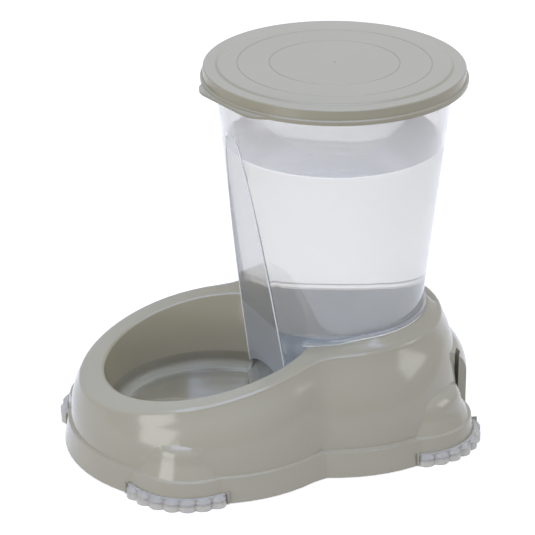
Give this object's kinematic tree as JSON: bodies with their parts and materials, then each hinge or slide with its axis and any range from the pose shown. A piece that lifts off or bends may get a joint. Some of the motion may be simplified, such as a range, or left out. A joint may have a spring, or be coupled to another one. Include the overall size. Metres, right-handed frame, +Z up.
{
  "type": "pet water dispenser",
  "caption": "Gravity pet water dispenser: drop-front bowl on rubber feet, clear tapered refill tank standing in its rear, round lift-off lid and sprung outlet valve.",
  "frame": {"origin": "the floor point in the middle of the base's length and width", "axes": "+Z up, the bowl faces -Y and the tank stands towards +Y; +X is the object's right, seen from the bowl's side towards +Y"},
  "size_m": [0.214, 0.2788, 0.2497],
  "materials": {
    "base_plastic": "glossy warm grey moulding",
    "foot_rubber": "soft grey rubber",
    "clear_plastic": "clear, faintly milky",
    "cap_plastic": "satin grey moulding",
    "seal_rubber": "matt black rubber",
    "valve_plastic": "satin off-white moulding",
    "spring_steel": "drawn stainless wire"
  },
  "bodies": {
    "base": {"base_shell": "base_plastic", "foot_front_right": "foot_rubber", "foot_front_left": "foot_rubber", "foot_rear_right": "foot_rubber", "foot_rear_left": "foot_rubber"},
    "tank": {"tank": "clear_plastic", "outlet_cap": "cap_plastic", "cap_gasket": "seal_rubber", "valve_cage": "valve_plastic", "valve_spring": "spring_steel"},
    "valve": {"valve_stem": "valve_plastic", "valve_washer": "seal_rubber"},
    "lid": {"lid": "base_plastic", "lid_seal": "seal_rubber"}
  },
  "joints": [
    {"name": "tank_lift", "type": "slide", "parent": "base", "child": "tank", "axis": [0, 0, 1], "range_m": [0, 0.09]},
    {"name": "lid_lift", "type": "slide", "parent": "tank", "child": "lid", "axis": [0, 0, 1], "range_m": [0, 0.03]},
    {"name": "valve_travel", "type": "slide", "parent": "tank", "child": "valve", "axis": [0, 0, 1], "range_m": [-0.004, 0], "deforming": ["valve_spring"]}
  ],
  "couplings": [
    {"joint": "valve_travel", "follows": "tank_lift", "ratio": -0.0444}
  ]
}
